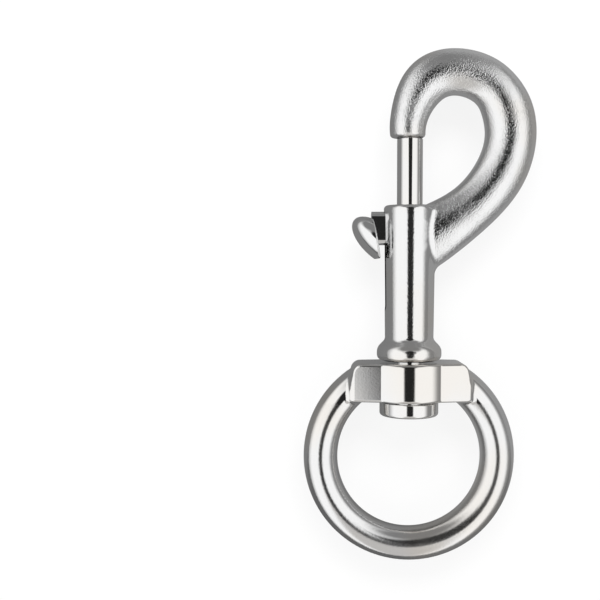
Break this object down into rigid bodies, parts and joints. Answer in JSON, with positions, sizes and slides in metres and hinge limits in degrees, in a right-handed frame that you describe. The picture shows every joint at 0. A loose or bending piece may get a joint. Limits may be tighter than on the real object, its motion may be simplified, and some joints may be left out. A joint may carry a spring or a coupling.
{
  "type": "swivel snap hook",
  "caption": "Nickel-plated bolt snap hook: a sliding bolt with a thumb catch closes the curved hook, and a round swivel eye turns on a headed pin below the barrel.",
  "frame": {"origin": "centre of the round eye's hole, in the middle plane of the part", "axes": "+Y up the barrel to the hook, +X to the side the hook bulges to, +Z square to the eye, up off the floor"},
  "size_m": [0.0409, 0.0905, 0.0124],
  "materials": {
    "satin_nickel": "satin nickel plate",
    "polished_nickel": "polished nickel plate",
    "spring_steel": "bright drawn wire"
  },
  "bodies": {
    "hook": {"hook_body": "satin_nickel", "swivel_pin": "polished_nickel", "spring": "spring_steel"},
    "bolt": {"plunger": "polished_nickel", "thumb_catch": "polished_nickel"},
    "eye": {"swivel_eye": "satin_nickel"}
  },
  "joints": [
    {"name": "bolt_slide", "type": "slide", "parent": "hook", "child": "bolt", "axis": [0, -1, 0], "range_m": [0, 0.0115], "stiffness_N_per_m": 300, "springref_m": -0.01, "deforming": ["spring"]},
    {"name": "eye_swivel", "type": "hinge", "parent": "hook", "child": "eye", "pos_m": [0, 0.0134, 0], "axis": [0, 1, 0], "continuous": true}
  ]
}
